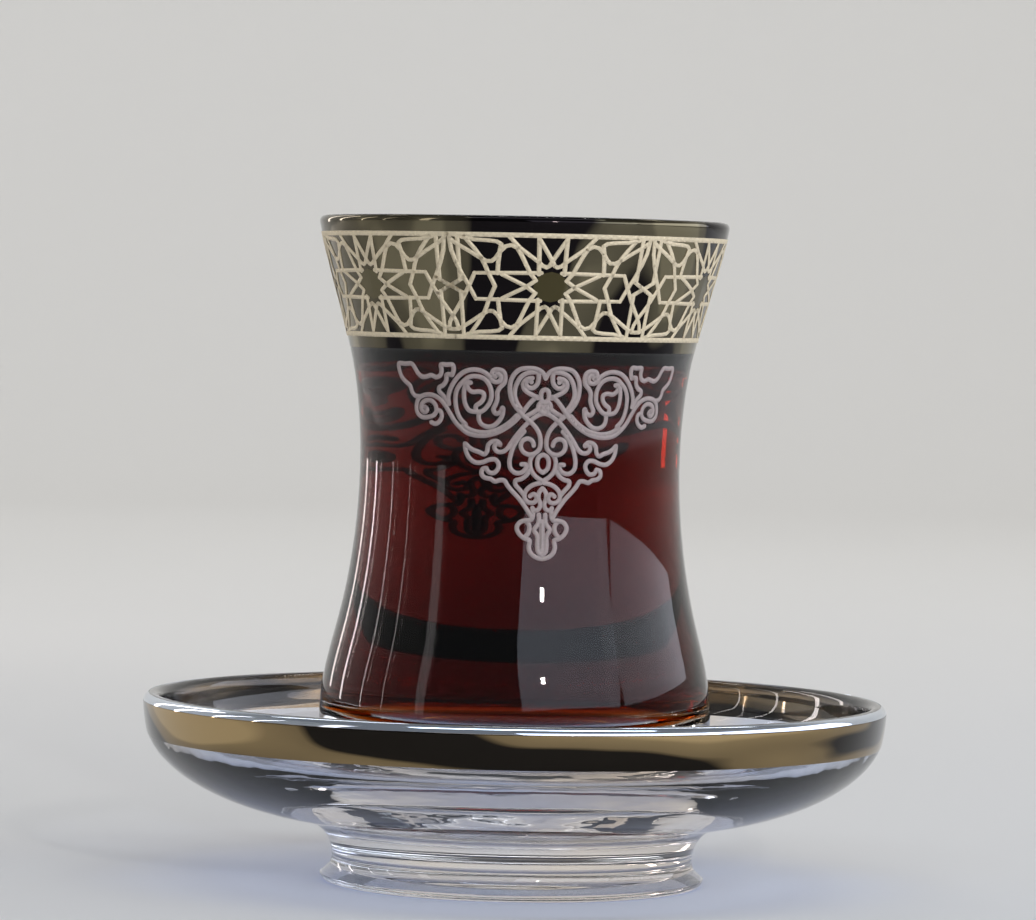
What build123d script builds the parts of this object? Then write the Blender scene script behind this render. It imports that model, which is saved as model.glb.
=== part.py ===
from build123d import *
import math
import os

# A waisted tea glass filled with black tea, standing on its own footed glass saucer.
# All sizes in millimetres.  +Z is up and the origin is the centre of the saucer's underside.
# Every piece is turned round the Z axis from an outline of (radius, height) points.

# --- Tea glass, heights above its own base ---
GLASS_HEIGHT = 86.1
RIM_RADIUS = 31.9
FLARE_DEGREES = 11.0          # lean of the wall at the rim
FLARE_RADIUS = 29.0           # half way up the flare
FLARE_HEIGHT = 74.0
THROAT_RADIUS = 26.3          # where the waist opens into the flare
THROAT_HEIGHT = 63.0
WAIST_RADIUS = 25.0
WAIST_HEIGHT = 46.0
SHOULDER_RADIUS = 27.8        # half way down the lower bell
SHOULDER_HEIGHT = 24.0
BELLY_RADIUS = 30.6           # widest ring of the lower bell
HEEL_ROUND = 8.0              # big round between the side and the base
WALL = 1.8
BASE_THICKNESS = 8.0
FLOOR_ROUND = 6.5             # inside corner between the floor and the wall
PUNT_RADIUS = 17.0            # shallow dome pressed into the underside
PUNT_DEPTH = 1.0

# --- Tea ---
FREEBOARD = 20.0              # from the rim down to the surface of the tea

# --- Saucer, heights above the table ---
SAUCER_HEIGHT = 29.0
SAUCER_RADIUS = 58.0
SAUCER_WALL = 2.8             # its rim is a round of half this
SIDE_DRAFT_DEGREES = 7.0      # lean of the upright side below the rim
SIDE_HEIGHT = 5.0             # upright side, from the rim down to the curve of the bowl
BOWL_FULLNESS_HIGH = 4.2      # how far the bowl's curve keeps on down from the side
BOWL_FULLNESS_LOW = 17.0      # how far it keeps on out from the foot
BOWL_SLOPE_DEGREES = 9.0     # rise of the bowl's underside where it leaves the foot
BOWL_THICKNESS = 8.4          # of the dish over the foot joint
DISH_DEPTH = 10.6             # from the rim down to the dish's floor
DISH_SIDE = 3.5               # upright side inside, from the rim down to the dish's curve
DISH_FULLNESS_HIGH = 4.5      # the dish's curve keeps on down from the side
DISH_FULLNESS_LOW = 8.5       # and out from the ledge
LEDGE_WIDTH = 9.0             # flat ledge of the dish round the seat
SEAT_DEPTH = 0.8              # well in the dish's floor that the glass stands in
SEAT_CLEARANCE = 1.4          # round the widest ring of the glass
SEAT_EDGE_RUN = 0.6           # sideways run of the well's sloping edge
FOOT_JOINT_RADIUS = 34.0      # where the foot's hollow curve meets the bowl
FOOT_CURVE_LOW = 3.2          # how far the hollow curve keeps on up from the neck
FOOT_CURVE_HIGH = 3.5         # and in from the joint
NECK_RADIUS = 28.2
NECK_HEIGHT = 4.0
FOOT_RADIUS = 30.0
FOOT_EDGE_ROUND = 1.2
FOOT_HOLLOW_RADIUS = 24.0     # shallow dome under the foot, inside the ring that it stands on
FOOT_HOLLOW_DEPTH = 2.6

# --- Levels that follow ---
DISH_FLOOR = SAUCER_HEIGHT - DISH_DEPTH
SEAT_LEVEL = DISH_FLOOR - SEAT_DEPTH
SEAT_RADIUS = BELLY_RADIUS + SEAT_CLEARANCE
BOWL_UNDERSIDE = DISH_FLOOR - BOWL_THICKNESS
TEA_LEVEL = GLASS_HEIGHT - FREEBOARD

UP = (0, 1)
HALVINGS = 40                 # of a curve, to find a height on it


def lean(degrees):
    """Unit direction (radius, height) of a wall that leans outwards as it rises."""
    angle = math.radians(degrees)
    return Vector(math.sin(angle), math.cos(angle))


def turned(*edges):
    """Solid made by turning a closed (radius, height) outline round the Z axis."""
    return revolve(Plane.XZ * make_face(edges), Axis.Z)


def rounded_rim(radius, height, wall, degrees):
    """Half-round rim of a leaning wall: its edge, and its ends on the outside and the inside."""
    rise = lean(degrees)
    outward = Vector(rise.Y, -rise.X)
    middle = Vector(radius - wall / 2, height - wall / 2)
    outer = middle + outward * (wall / 2)
    inner = middle - outward * (wall / 2)
    top = middle + rise * (wall / 2)
    return ThreePointArc(outer, top, inner), outer, inner


def glass_side():
    """Outside of the tea glass between the heel and the rim."""
    _, outer, _ = rounded_rim(RIM_RADIUS, GLASS_HEIGHT, WALL, FLARE_DEGREES)
    return Spline(
        (BELLY_RADIUS, HEEL_ROUND),
        (SHOULDER_RADIUS, SHOULDER_HEIGHT),
        (WAIST_RADIUS, WAIST_HEIGHT),
        (THROAT_RADIUS, THROAT_HEIGHT),
        (FLARE_RADIUS, FLARE_HEIGHT),
        outer,
        tangents=(UP, lean(FLARE_DEGREES)),
    )


def where_at_height(curve, height):
    """Share of the way along a rising curve at which it reaches a height."""
    low, high = 0.0, 1.0
    for _ in range(HALVINGS):
        middle = (low + high) / 2
        if (curve @ middle).Y < height:
            low = middle
        else:
            high = middle
    return (low + high) / 2


def glass_cavity():
    """Inside of the tea glass, one wall in from its side, up to the rim's inner end."""
    _, _, lip = rounded_rim(RIM_RADIUS, GLASS_HEIGHT, WALL, FLARE_DEGREES)
    side = glass_side()
    place = where_at_height(side, BASE_THICKNESS + FLOOR_ROUND)
    wall_foot = side @ place - Vector(WALL, 0)
    wall_line = Spline(
        wall_foot,
        (SHOULDER_RADIUS - WALL, SHOULDER_HEIGHT),
        (WAIST_RADIUS - WALL, WAIST_HEIGHT),
        (THROAT_RADIUS - WALL, THROAT_HEIGHT),
        (FLARE_RADIUS - WALL, FLARE_HEIGHT),
        lip,
        tangents=(side % place, lean(FLARE_DEGREES)),
    )
    floor_edge = Vector(wall_foot.X - FLOOR_ROUND, BASE_THICKNESS)
    corner = Spline(floor_edge, wall_foot, tangents=((1, 0), side % place))
    floor_line = Line((0, BASE_THICKNESS), floor_edge)
    top_line = Line(lip, (0, lip.Y))
    axis_line = Line((0, lip.Y), (0, BASE_THICKNESS))
    return turned(floor_line, corner, wall_line, top_line, axis_line)


def glass_body():
    """Tea glass: round heel, waisted side, rounded rim and thick base, hollowed by its cavity."""
    rim, _, lip = rounded_rim(RIM_RADIUS, GLASS_HEIGHT, WALL, FLARE_DEGREES)
    punt = TangentArc((0, PUNT_DEPTH), (PUNT_RADIUS, 0), tangent=(1, 0))
    base_line = Line((PUNT_RADIUS, 0), (BELLY_RADIUS - HEEL_ROUND, 0))
    heel = TangentArc((BELLY_RADIUS - HEEL_ROUND, 0), (BELLY_RADIUS, HEEL_ROUND), tangent=(1, 0))
    top_line = Line(lip, (0, lip.Y))
    axis_line = Line((0, lip.Y), (0, PUNT_DEPTH))
    solid = turned(punt, base_line, heel, glass_side(), rim, top_line, axis_line)
    return solid - glass_cavity()


def tea_body():
    """Tea: the glass's cavity up to the tea's surface."""
    above = Pos(0, 0, TEA_LEVEL) * Cylinder(
        2 * RIM_RADIUS, GLASS_HEIGHT, align=(Align.CENTER, Align.CENTER, Align.MIN)
    )
    return glass_cavity() - above


def saucer_body():
    """Saucer: hollow-curved foot, bowl with an upright side, rounded rim, and a well for the glass."""
    rim, outer, inner = rounded_rim(SAUCER_RADIUS, SAUCER_HEIGHT, SAUCER_WALL, SIDE_DRAFT_DEGREES)
    draft = lean(SIDE_DRAFT_DEGREES)
    slope = lean(90 - BOWL_SLOPE_DEGREES)
    out = Vector(1, 0)
    up = Vector(*UP)

    hollow = TangentArc((0, FOOT_HOLLOW_DEPTH), (FOOT_HOLLOW_RADIUS, 0), tangent=out)
    ring_line = Line(hollow @ 1, (FOOT_RADIUS - FOOT_EDGE_ROUND, 0))
    ring_edge = TangentArc(ring_line @ 1, (FOOT_RADIUS, FOOT_EDGE_ROUND), tangent=out)
    neck = Vector(NECK_RADIUS, NECK_HEIGHT)
    flare = Spline(ring_edge @ 1, neck, tangents=((-1, 1), up))
    joint = Vector(FOOT_JOINT_RADIUS, BOWL_UNDERSIDE)
    foot_curve = Bezier(neck, neck + up * FOOT_CURVE_LOW, joint - slope * FOOT_CURVE_HIGH, joint)

    side_foot = outer - draft * (SIDE_HEIGHT - SAUCER_WALL / 2)
    bowl_curve = Bezier(
        joint, joint + slope * BOWL_FULLNESS_LOW, side_foot - draft * BOWL_FULLNESS_HIGH, side_foot
    )
    outer_side = Line(side_foot, outer)

    dish_side_foot = inner - draft * (DISH_SIDE - SAUCER_WALL / 2)
    inner_side = Line(inner, dish_side_foot)
    ledge_edge = Vector(SEAT_RADIUS + SEAT_EDGE_RUN + LEDGE_WIDTH, DISH_FLOOR)
    dish_curve = Bezier(
        dish_side_foot,
        dish_side_foot - draft * DISH_FULLNESS_HIGH,
        ledge_edge + out * DISH_FULLNESS_LOW,
        ledge_edge,
    )
    ledge = Line(ledge_edge, (SEAT_RADIUS + SEAT_EDGE_RUN, DISH_FLOOR))
    seat_edge = Line(ledge @ 1, (SEAT_RADIUS, SEAT_LEVEL))
    seat_line = Line(seat_edge @ 1, (0, SEAT_LEVEL))
    axis_line = Line((0, SEAT_LEVEL), (0, FOOT_HOLLOW_DEPTH))
    return turned(
        hollow, ring_line, ring_edge, flare, foot_curve, bowl_curve, outer_side, rim,
        inner_side, dish_curve, ledge, seat_edge, seat_line, axis_line,
    )


def main():
    on_seat = Pos(0, 0, SEAT_LEVEL)
    pieces = {
        "tea_glass": on_seat * glass_body(),
        "tea": on_seat * tea_body(),
        "saucer": saucer_body(),
    }
    os.makedirs("parts", exist_ok=True)
    for name, piece in pieces.items():
        export_step(piece, f"parts/{name}.step")


main()
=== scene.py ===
"""Waisted glass of black tea on its footed glass saucer, with mirror bands and etched ornament."""

import math

import bmesh
import bpy
from bpy.props import FloatProperty, FloatVectorProperty, IntProperty, PointerProperty
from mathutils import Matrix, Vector


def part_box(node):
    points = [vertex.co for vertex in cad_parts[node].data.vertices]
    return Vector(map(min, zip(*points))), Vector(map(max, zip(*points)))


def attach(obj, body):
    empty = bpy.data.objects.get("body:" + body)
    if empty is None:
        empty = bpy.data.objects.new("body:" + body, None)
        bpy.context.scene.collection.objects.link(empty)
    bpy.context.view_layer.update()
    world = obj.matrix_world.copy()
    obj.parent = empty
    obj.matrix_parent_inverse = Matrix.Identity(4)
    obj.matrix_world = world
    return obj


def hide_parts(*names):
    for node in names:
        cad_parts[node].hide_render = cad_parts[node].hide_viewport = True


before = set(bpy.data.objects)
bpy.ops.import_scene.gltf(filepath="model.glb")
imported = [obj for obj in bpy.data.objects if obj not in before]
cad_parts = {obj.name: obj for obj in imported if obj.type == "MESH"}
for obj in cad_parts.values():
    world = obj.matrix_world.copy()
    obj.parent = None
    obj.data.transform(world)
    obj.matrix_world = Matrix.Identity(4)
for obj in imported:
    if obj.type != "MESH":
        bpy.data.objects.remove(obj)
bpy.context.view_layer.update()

bl_info = {
    "name": "Glass of Tea on a Saucer",
    "version": (1, 0, 0),
    "blender": (4, 5, 0),
    "location": "View3D > Sidebar > Tea Glass",
    "description": "Builds a waisted glass of tea with its saucer, mirror bands and etched ornament",
    "category": "Add Mesh",
}

MM = 0.001
BODY = "root"
GLASS = "tea_glass"
TEA = "tea"
SAUCER = "saucer"

# Places that follow from the CAD parts, in metres.
GLASS_LOW, GLASS_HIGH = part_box(GLASS)
TEA_LOW, TEA_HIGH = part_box(TEA)
SAUCER_LOW, SAUCER_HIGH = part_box(SAUCER)
GLASS_BASE = GLASS_LOW.z
GLASS_RIM = GLASS_HIGH.z
TEA_LEVEL = TEA_HIGH.z
SAUCER_RIM = SAUCER_HIGH.z

CORNER = math.radians(35)                 # a sharper turn of an outline stays a corner
SMALL_CORNER = math.radians(7)            # and so does this, where its neighbours turn half as much
SHARP_ANGLE = math.radians(40)            # a sharper edge of a turned piece isn't shaded smooth
FINE_TURN = math.radians(6)               # most that a smooth outline turns in one step
MENISCUS_STEPS = 16
FLOW_STEP = 0.45                          # of a scroll's line, in millimetres
JOINT_SIDES = 12
BORDER_STEPS = 12
WORLD_STRENGTH = 0.18
GLASS_RIPPLE = 0.025 * MM                 # heights of the pressed glass's faint ripples
SAUCER_RIPPLE = 0.08 * MM
GLASS_PATCHES = (1, 1, 0.3)               # how a band's painted reflection patches are squeezed on each axis
GLASS_PATCH_SCALE = 75.0                  # and how many there are to a metre
# squeeze and count of the saucer band's painted reflection patches
SAUCER_PATCHES = (1, 1, 5)
EVEN = (1, 1, 1)
SAUCER_PATCH_SCALE = 22.0
STAR_SHEEN = 0.25                         # metal in the star band's lines
SCROLL_FROST = 0.45                       # light that the scrollwork's frost lets through
DRY_SHINE = 0.5                           # share of a bare surface's shine, for a calm glass
WETTED_SHINE = 0.06                       # glass and tea in contact hardly shine where they meet
TEA_SHADOW = (0.55, 0.16, 0.05)           # tint of light that falls through the tea's surface
COVE_OPENING = 58                         # degrees left open each side, behind the camera

# name, degrees right of the camera, distance, height, size, radiance, colour,
# and the aim: distance out on the same side, and height
LAMPS = (
    ("window_front", 34, 0.85, 0.34, (1.05, 0.42), 2.3, (0.80, 0.86, 1.0), 0.0, 0.05),
    ("window_side", 96, 0.85, 0.34, (1.0, 0.42), 1.9, (0.84, 0.88, 1.0), 0.0, 0.05),
    ("strip_left_soft", -57, 0.8, 0.30, (0.09, 0.55), 1.6, (1.0, 0.95, 0.95), 0.0, 0.06),
    ("strip_left_near", -84, 0.8, 0.30, (0.010, 0.55), 6.0, (1.0, 0.95, 0.94), 0.0, 0.06),
    ("strip_left_mid", -102, 0.8, 0.30, (0.014, 0.55), 7.0, (1.0, 0.95, 0.94), 0.0, 0.06),
    ("strip_left_far", -124, 0.8, 0.30, (0.035, 0.55), 8.0, (1.0, 0.93, 0.92), 0.0, 0.06),
    ("strip_left_back", -142, 0.8, 0.30, (0.05, 0.55), 4.0, (1.0, 0.92, 0.88), 0.0, 0.06),
    ("low_sun", 16.5, 0.78, 0.288, (0.03, 0.03), 330.0, (1.0, 0.95, 0.86), 0.0, 0.05),
    ("overhead", 10, 0.35, 1.0, (1.0, 0.13), 7.0, (0.84, 0.92, 1.0), 0.0, 0.05),
    ("backdrop_wash", 180, 0.7, 1.3, (1.6, 0.4), 6.0, (1.0, 0.99, 0.97), 1.95, 0.3),
)


# ---------------------------------------------------------------- sizes and colours

def length(name, description, millimetres):
    """Setting for a length."""
    return FloatProperty(
        name=name, description=description, default=millimetres * MM, unit="LENGTH")


def angle(name, description, degrees):
    """Setting for an angle."""
    return FloatProperty(
        name=name, description=description, default=math.radians(degrees), subtype="ANGLE")


def colour(name, description, default):
    """Setting for a colour."""
    return FloatVectorProperty(
        name=name, description=description, subtype="COLOR", size=3, default=default)


class TurnedSizes(bpy.types.PropertyGroup):
    """How finely the glass, the tea and the saucer are turned."""

    segments: IntProperty(
        name="Segments", description="Flats round each turned piece", default=240, min=32)
    step: length("Outline Step", "Distance between rings along an outline", 0.9)
    seat_gap: length("Seat Gap", "Hair of air between the glass and the saucer's seat", 0.03)
    tea_reach: length("Tea Reach", "How far the tea reaches into the glass wall", 0.12)
    meniscus: length("Meniscus", "Climb of the tea's surface at the wall", 2.6)
    meniscus_reach: length("Meniscus Reach", "How far in from the wall the climb dies away", 1.9)


class BandSizes(bpy.types.PropertyGroup):
    """Mirror bands of the glass and the saucer, and the star band etched on the glass."""

    film: length("Film", "Thickness of a mirror band", 0.04)
    film_lift: length("Film Lift", "Clearance of a mirror band over the glass", 0.02)
    glass_top: length("Glass Band Top", "Down from the glass's rim to the band's upper edge", 0.2)
    glass_foot: length("Glass Band Foot", "Down from the glass's rim to the band's lower edge", 20.4)
    lip_top: length("Lip Top", "Down from the saucer's rim to the silvered lip's upper edge", 0.12)
    saucer_top: length("Saucer Band Top", "Down from the saucer's rim to the band's upper edge", 1.2)
    saucer_foot: length("Saucer Band Foot", "Down from the saucer's rim to its lower edge", 6.45)
    star_middle: length(
        "Star Band Middle", "Height of the star band's middle over the glass's base", 75.5)
    border: length("Border Height", "Border line's distance from the middle of the band", 7.7)
    border_width: length("Border Width", "Width of the two border lines", 0.72)
    strap_width: length("Strap Width", "Width of the star band's straps", 0.58)
    heart_width: length("Star Heart", "Width of the lighter field in the middle of a star", 4.6)
    cells: IntProperty(name="Stars", description="Stars round the glass", default=6, min=1)


class ScrollSizes(bpy.types.PropertyGroup):
    """Etched scrollwork on the waist of the glass."""

    line_width: length("Line Width", "Width of an etched line", 0.7)
    relief: length("Relief", "How far an etched line stands proud of the glass", 0.1)
    radius: length("Layout Radius", "Radius at which the flat drawing is laid out", 25.6)
    repeats: IntProperty(
        name="Repeats", description="Panels of scrollwork round the glass", default=2, min=1)


class Finishes(bpy.types.PropertyGroup):
    """Colours and finishes. The mirror bands' dark and golden colours, the lip's blue, and the saucer
    glass's blue and peach tints are painted reflections.
    """

    clear: colour("Clear Glass", "Tint of the glass", (0.985, 0.99, 0.985))
    # painted reflections: the saucer glass's blue tint stands in for sky, and its peach patches for
    # warmer surroundings
    saucer_painted_sky_tint: colour("Saucer Glass", "Tint of the saucer's glass", (0.82, 0.87, 1.0))
    saucer_painted_warm_reflection: colour("Saucer Glass, Warm", "Warmer areas of the saucer's glass", (1.0, 0.92, 0.84))
    # the lip is silvered; its blue tint is a painted sky reflection
    lip: colour("Lip", "Silvered lip of the saucer", (0.80, 0.88, 1.0))
    tea_body: colour("Tea", "What a depth of tea lets through", (0.84, 0.57, 0.12))
    tea_strength: FloatProperty(
        name="Tea Strength", description="Absorption of the tea per metre", default=385.0, min=0.0)
    # painted reflection: the mirror band's near-black colour stands in for the dim surroundings it
    # mirrors, its champagne colour for bright lights reflected in it
    mirror_painted_dark_reflection: colour("Mirror, Dark", "Smoky part of the glass's mirror band", (0.012, 0.010, 0.011))
    mirror_painted_champagne_reflection: colour(
        "Mirror, Warm", "Champagne part of the glass's mirror band", (0.20, 0.175, 0.11))
    heart: colour("Star Heart", "Lustre in the middle of a star", (0.085, 0.072, 0.035))
    # painted reflection: the saucer band's near-black colour stands in for dim surroundings, its gold
    # patches for warmer surroundings reflected in it
    saucer_band_painted_dark_reflection: colour(
        "Saucer Band, Dark", "Smoky part of the saucer's mirror band", (0.02, 0.017, 0.014))
    saucer_band_painted_gold_reflection: colour(
        "Saucer Band, Warm", "Golden part of the saucer's mirror band", (0.50, 0.36, 0.18))
    star_line: colour("Star Lines", "Etched lines on the mirror", (0.82, 0.70, 0.49))
    scroll_line: colour("Scroll Lines", "Etched lines on the waist", (0.66, 0.55, 0.53))


class Studio(bpy.types.PropertyGroup):
    """Camera, floor and lamps."""

    distance: length("Camera Distance", "From the axis to the camera", 812)
    eye: length("Eye Height", "Camera height over the table", 90.3)
    turn: angle("Camera Turn", "Round from the front, to the left", 8)
    pitch: angle("Camera Pitch", "Downward tilt", 1.708)
    roll: angle("Camera Roll", "Roll of the camera", 1.2)
    aside: length("Camera Aside", "Sideways step to the left", 0.3)
    lens: FloatProperty(name="Lens", description="Focal length in millimetres", default=180.6)
    floor: colour("Floor", "Colour of the floor", (0.78, 0.77, 0.75))


def settings(name):
    """Property group of this object's sizes, kept on the scene."""
    return getattr(bpy.context.scene, "tea_glass_" + name)


# ---------------------------------------------------------------- materials

class Value:
    """A number in a node tree: arithmetic on it adds Math nodes."""

    def __init__(self, tree, socket):
        self.tree = tree
        self.socket = socket

    def _math(self, operation, first, second):
        return self.tree.add("ShaderNodeMath", {"operation": operation}, {0: first, 1: second})

    def __add__(self, other):
        return self._math("ADD", self, other)

    __radd__ = __add__

    def __mul__(self, other):
        return self._math("MULTIPLY", self, other)

    __rmul__ = __mul__

    def clamped(self):
        """The same number kept between 0 and 1."""
        return self.tree.add("ShaderNodeClamp", {}, {"Value": self})


class Finish:
    """A material's node tree, built with few words."""

    def __init__(self, name):
        self.material = bpy.data.materials.new(name)
        self.material.use_nodes = True
        self.nodes = self.material.node_tree.nodes
        self.links = self.material.node_tree.links
        self.nodes.clear()

    def set_input(self, socket, value):
        """A link or a plain value into one socket."""
        if isinstance(value, Value):
            self.links.new(value.socket, socket)
        else:
            socket.default_value = value

    def add(self, kind, options, inputs, output=0):
        """New node: its options first, then its inputs; gives one of its outputs."""
        node = self.nodes.new(kind)
        for name, value in options.items():
            if name == "stops":
                self.set_stops(node, value)
            else:
                setattr(node, name, value)
        for name, value in inputs.items():
            self.set_input(node.inputs[name], value)
        return Value(self, node.outputs[output]) if len(node.outputs) else node

    @staticmethod
    def set_stops(node, stops):
        """Stops of a colour ramp: (place, grey) pairs."""
        elements = node.color_ramp.elements
        while len(elements) < len(stops):
            elements.new(0.5)
        for element, (place, grey) in zip(elements, stops):
            element.position = place
            element.color = (grey, grey, grey, 1)

    def place(self):
        """Position on the object."""
        return self.add("ShaderNodeTexCoord", {}, {}, "Object")

    def scaled(self, vector, scale):
        """Position stretched along the three axes."""
        return self.add("ShaderNodeMapping", {}, {"Vector": vector, "Scale": scale})

    def noise(self, vector, scale, detail=3.0, roughness=0.5):
        """Soft noise from 0 to 1, scale in cycles per metre."""
        return self.add(
            "ShaderNodeTexNoise", {},
            {"Vector": vector, "Scale": scale, "Detail": detail, "Roughness": roughness})

    def ramp(self, value, stops):
        """Number run through a ramp of greys."""
        return self.add("ShaderNodeValToRGB", {"stops": stops}, {"Fac": value})

    def mixed(self, factor, first, second):
        """Two colours mixed."""
        return self.add(
            "ShaderNodeMix", {"data_type": "RGBA"},
            {0: factor, 6: (*first, 1), 7: (*second, 1)}, 2)

    def bump(self, height, distance, strength=1.0):
        """Normal roughened by a height, in metres."""
        return self.add(
            "ShaderNodeBump", {}, {"Height": height, "Distance": distance, "Strength": strength})

    def pane(self, surface, tint):
        """The surface as the eye sees it, but a plain tinted pane to light that falls through."""
        shadow = self.add("ShaderNodeLightPath", {}, {}, "Is Shadow Ray")
        diffuse = self.add("ShaderNodeLightPath", {}, {}, "Is Diffuse Ray")
        passing = self.add("ShaderNodeBsdfTransparent", {}, {"Color": (*tint, 1)})
        return self.add(
            "ShaderNodeMixShader", {},
            {0: (shadow + diffuse).clamped(), 1: surface, 2: passing})

    def finish(self, surface, volume=None):
        """Join the surface, and a volume if there is one, to the output."""
        output = self.nodes.new("ShaderNodeOutputMaterial")
        self.links.new(surface.socket, output.inputs["Surface"])
        if volume is not None:
            self.links.new(volume.socket, output.inputs["Volume"])
        return self.material


def clear_glass(name, tint, painted_reflection_tint, ripple, shine):
    """Pressed clear glass: light passes to the floor, and faint ripples bend what is behind. Patches of
    a second tint, where it differs, are painted reflections.
    """
    f = Finish(name)
    place = f.place()
    slow = f.noise(f.scaled(place, (1, 1, 0.45)), 95.0, 2.0)
    # large patches of the second tint are painted reflections; none show where both tints are the same
    painted_reflection_patches = f.noise(f.scaled(place, (1, 1, 2.5)), 26.0, 1.0)
    glass = f.add("ShaderNodeBsdfPrincipled", {}, {
        "Base Color": f.mixed(f.ramp(painted_reflection_patches, [(0.42, 0.0), (0.58, 1.0)]), tint, painted_reflection_tint),
        "Roughness": 0.0,
        "IOR": 1.5,
        "Specular Tint": (shine, shine, shine, 1),
        "Transmission Weight": 1.0,
        "Normal": f.bump(slow, ripple),
    })
    return f.finish(f.pane(glass, tint))


def black_tea(name, colours, shine):
    """Clear red-brown tea: its colour comes from the depth that light passes through."""
    f = Finish(name)
    place = f.place()
    stir = f.noise(f.scaled(place, (1, 1, 0.5)), 60.0, 1.0)
    skin = f.add("ShaderNodeBsdfPrincipled", {}, {
        "Base Color": (1.0, 1.0, 1.0, 1),
        "Roughness": 0.0,
        "IOR": 1.333,
        "Specular Tint": (shine, shine, shine, 1),
        "Transmission Weight": 1.0,
        "Normal": f.bump(stir, 0.02 * MM),
    })
    depth = f.add("ShaderNodeVolumeAbsorption", {}, {
        "Color": (*colours.tea_body, 1),
        "Density": colours.tea_strength,
    })
    return f.finish(f.pane(skin, TEA_SHADOW), depth)


def mirror_lustre(name, dark, painted_reflection_colour, stretch, scale):
    """Mirror lustre with painted reflections: a near-black base stands in for the dim surroundings it
    mirrors, and crisp champagne patches, stretched along the axes, are painted reflections of bright
    lights; a soft haze varies the roughness.
    """
    f = Finish(name)
    place = f.place()
    swirl = f.noise(f.scaled(place, stretch), scale, 1.5, 0.4)
    # painted reflections: crisp patches of the second colour over the first
    tone_and_reflection_patch = f.ramp(swirl, [(0.47, 0.0), (0.50, 0.45), (0.57, 0.6), (0.60, 1.0)])
    haze = f.noise(place, 600.0, 2.0)
    metal = f.add("ShaderNodeBsdfPrincipled", {}, {
        "Base Color": f.mixed(tone_and_reflection_patch, dark, painted_reflection_colour),
        "Metallic": 1.0,
        "Roughness": haze * 0.05 + 0.03,
        "Normal": f.bump(swirl, 0.1 * MM),
    })
    return f.finish(metal)


def etched(name, colour, sheen, frost_through):
    """Frosty etched line: matt, grainy, a little uneven in colour."""
    f = Finish(name)
    place = f.place()
    grain = f.noise(place, 2600.0, 3.0, 0.65)
    tone_and_reflection_patch = f.noise(place, 240.0, 3.0)
    shade = f.ramp(grain * 0.6 + tone_and_reflection_patch * 0.4, [(0.25, 0.0), (0.75, 1.0)])
    darker = tuple(0.74 * c for c in colour)
    lighter = tuple(min(1.0, 1.12 * c) for c in colour)
    frost = f.add("ShaderNodeBsdfPrincipled", {}, {
        "Base Color": f.mixed(shade, darker, lighter),
        "Metallic": sheen,
        "Roughness": grain * 0.2 + 0.42,
        "Transmission Weight": frost_through,
        "Normal": f.bump(grain, 0.05 * MM),
    })
    return f.finish(frost)


# ---------------------------------------------------------------- turned pieces

def cad_outline(node):
    """(radius, height) points of a turned CAD node's seam, from the axis underneath to the axis."""
    work = bmesh.new()
    work.from_mesh(bpy.data.objects[node].data)
    bmesh.ops.remove_doubles(work, verts=work.verts, dist=1e-7)
    near = 1e-6
    seam = {v for v in work.verts if abs(v.co.y) < near and v.co.x > -near}
    steps = {v: [] for v in seam}
    for edge in work.edges:
        first, second = edge.verts
        if first in seam and second in seam:
            steps[first].append(second)
            steps[second].append(first)
    ends = [v for v in seam if len(steps[v]) == 1]
    if len(ends) != 2:
        raise RuntimeError(f"the seam of {node} isn't one line")
    point = min(ends, key=lambda v: v.co.z)
    outline = []
    seen = set()
    while point is not None:
        seen.add(point)
        outline.append(Vector((max(0.0, point.co.x), point.co.z)))
        point = next((v for v in steps[point] if v not in seen), None)
    work.free()
    if outline[0].x > near:
        outline.insert(0, Vector((0.0, outline[0].y)))
    if outline[-1].x > near:
        outline.append(Vector((0.0, outline[-1].y)))
    return outline


def rounded(points, step):
    """Outline with its coarse runs made smooth, and its corners kept."""
    spans = [b - a for a, b in zip(points, points[1:])]
    turns = [0.0] + [a.angle(b) for a, b in zip(spans, spans[1:])] + [0.0]
    corners = [0]
    for i in range(1, len(points) - 1):
        beside = max(turns[i - 1], turns[i + 1])
        if turns[i] > CORNER or (turns[i] > SMALL_CORNER and turns[i] > 2 * beside):
            corners.append(i)
    corners.append(len(points) - 1)
    smooth = [points[0]]
    for low, high in zip(corners, corners[1:]):
        smooth += flowing(points[low:high + 1], step)[1:]
    return smooth


def flowing(points, step):
    """Smooth run through points: a cubic in each span, with the slopes of its neighbours."""
    if len(points) < 3:
        return line_steps(points[0], points[-1], step)
    spans = [(b - a).length for a, b in zip(points, points[1:])]
    rates = [(b - a) / s for a, b, s in zip(points, points[1:], spans)]
    slopes = [rates[0]]
    for i in range(1, len(rates)):
        before, after = spans[i - 1], spans[i]
        slopes.append((rates[i - 1] * after + rates[i] * before) / (before + after))
    slopes.append(rates[-1])
    slopes[0] = 1.5 * rates[0] - 0.5 * slopes[1]
    slopes[-1] = 1.5 * rates[-1] - 0.5 * slopes[-2]
    run = [points[0]]
    for i, span in enumerate(spans):
        turn = slopes[i].angle(slopes[i + 1], 0.0)
        count = max(math.ceil(span / step), math.ceil(turn / FINE_TURN), 1)
        for k in range(1, count + 1):
            s = k / count
            run.append(
                points[i] * (2 * s ** 3 - 3 * s ** 2 + 1)
                + slopes[i] * span * (s ** 3 - 2 * s ** 2 + s)
                + points[i + 1] * (3 * s ** 2 - 2 * s ** 3)
                + slopes[i + 1] * span * (s ** 3 - s ** 2))
    return run


def line_steps(start, end, step):
    """Straight run from start to end in steps."""
    count = max(1, math.ceil((end - start).length / step))
    return [start.lerp(end, k / count) for k in range(count + 1)]


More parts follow.
